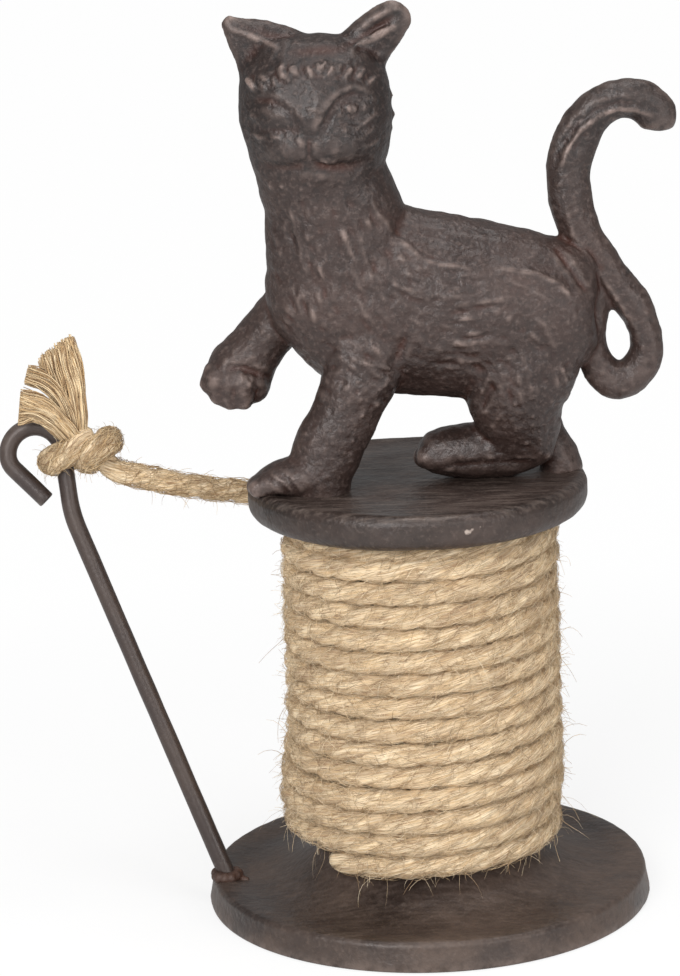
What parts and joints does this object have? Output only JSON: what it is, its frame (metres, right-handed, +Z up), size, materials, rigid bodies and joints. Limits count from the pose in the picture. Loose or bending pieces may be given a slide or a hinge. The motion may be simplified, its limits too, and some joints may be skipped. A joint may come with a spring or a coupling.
{
  "type": "string holder",
  "caption": "Cast-iron string holder: a cat on a round plate over a turning roll of rope, on a round base, with a bent rod that holds the rope's knotted end.",
  "frame": {"origin": "middle of the base's underside, on the floor, under the post's axis", "axes": "+Z up along the post, +X towards the cat's tail, -Y towards the viewer, whom the cat's face looks at"},
  "size_m": [0.1675, 0.11, 0.2243],
  "materials": {
    "cast_iron": "brown-black cast iron, satin with worn ridges",
    "rod": "dark wrought rod, satin",
    "weld": "rusty weld bead",
    "steel": "plain turned steel",
    "nylon": "natural nylon",
    "tube": "spiral-wound kraft board",
    "beech": "turned beech, unvarnished",
    "jute": "three-strand jute rope, hairy",
    "frayed_jute": "combed-out jute fibre"
  },
  "bodies": {
    "base": {"base_plate": "cast_iron", "hook_rod": "rod", "hook_weld": "weld", "centre_post": "steel", "post_washer": "steel", "post_nut": "steel", "thrust_washer": "nylon", "rope_lead": "jute", "rope_knot": "jute", "tail_upper": "frayed_jute", "tail_lower": "frayed_jute"},
    "spool": {"spool_tube": "tube", "lower_bush": "beech", "upper_bush": "beech", "rope_core": "jute", "rope_winding": "jute"},
    "top": {"top_plate": "cast_iron", "cat_figure": "cast_iron", "cat_screws": "steel"}
  },
  "joints": [
    {"name": "spool_spin", "type": "hinge", "parent": "base", "child": "spool", "pos_m": [0, 0, 0.05], "axis": [0, 0, 1], "continuous": true},
    {"name": "top_lift", "type": "slide", "parent": "base", "child": "top", "axis": [0, 0, 1], "range_m": [0, 0.03]}
  ]
}
